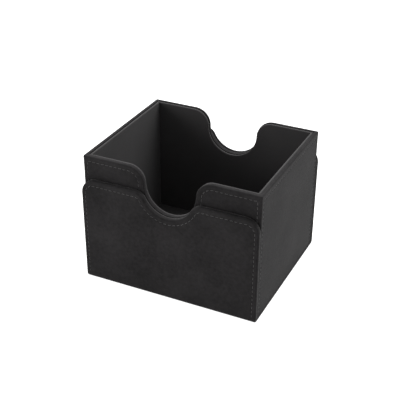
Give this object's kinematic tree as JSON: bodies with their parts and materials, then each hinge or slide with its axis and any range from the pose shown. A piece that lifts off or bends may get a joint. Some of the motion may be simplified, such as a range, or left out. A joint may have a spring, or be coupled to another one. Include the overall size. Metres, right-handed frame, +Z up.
{
  "type": "card deck box",
  "caption": "Open card tray of covered board with round finger notches, lifting out of a U-shaped cover whose flaps stand against its front and back.",
  "frame": {"origin": "centre of the cover's footprint on the surface that it stands on", "axes": "+X to the right along the notched front, +Y from the front flap to the back flap, +Z up"},
  "size_m": [0.151, 0.1318, 0.11],
  "materials": {
    "skin": "suede-like napped skin, matt, charcoal",
    "lining": "fine short-pile cloth, matt, near black",
    "thread": "twisted polyester thread, dark grey",
    "greyboard": "plain grey board",
    "magnet": "nickel-plated disc"
  },
  "bodies": {
    "cover": {"cover_front_board": "greyboard", "cover_back_board": "greyboard", "cover_base_board": "greyboard", "cover_front_skin": "skin", "cover_back_skin": "skin", "cover_base_skin": "skin", "cover_front_lining": "lining", "cover_back_lining": "lining", "cover_base_lining": "lining", "cover_front_stitching": "thread", "cover_back_stitching": "thread", "cover_front_magnets": "magnet", "cover_back_magnets": "magnet"},
    "tray": {"tray_front_board": "greyboard", "tray_back_board": "greyboard", "tray_left_board": "greyboard", "tray_right_board": "greyboard", "tray_floor_board": "greyboard", "tray_front_skin": "skin", "tray_back_skin": "skin", "tray_left_skin": "skin", "tray_right_skin": "skin", "tray_bottom_skin": "skin", "tray_front_lining": "lining", "tray_back_lining": "lining", "tray_left_lining": "lining", "tray_right_lining": "lining", "tray_floor_lining": "lining", "tray_front_stitching": "thread", "tray_back_stitching": "thread", "tray_left_stitching": "thread", "tray_right_stitching": "thread", "tray_front_magnets": "magnet", "tray_back_magnets": "magnet"}
  },
  "joints": [
    {"name": "tray_lift", "type": "slide", "parent": "cover", "child": "tray", "axis": [0, 0, 1], "range_m": [0, 0.09]}
  ]
}
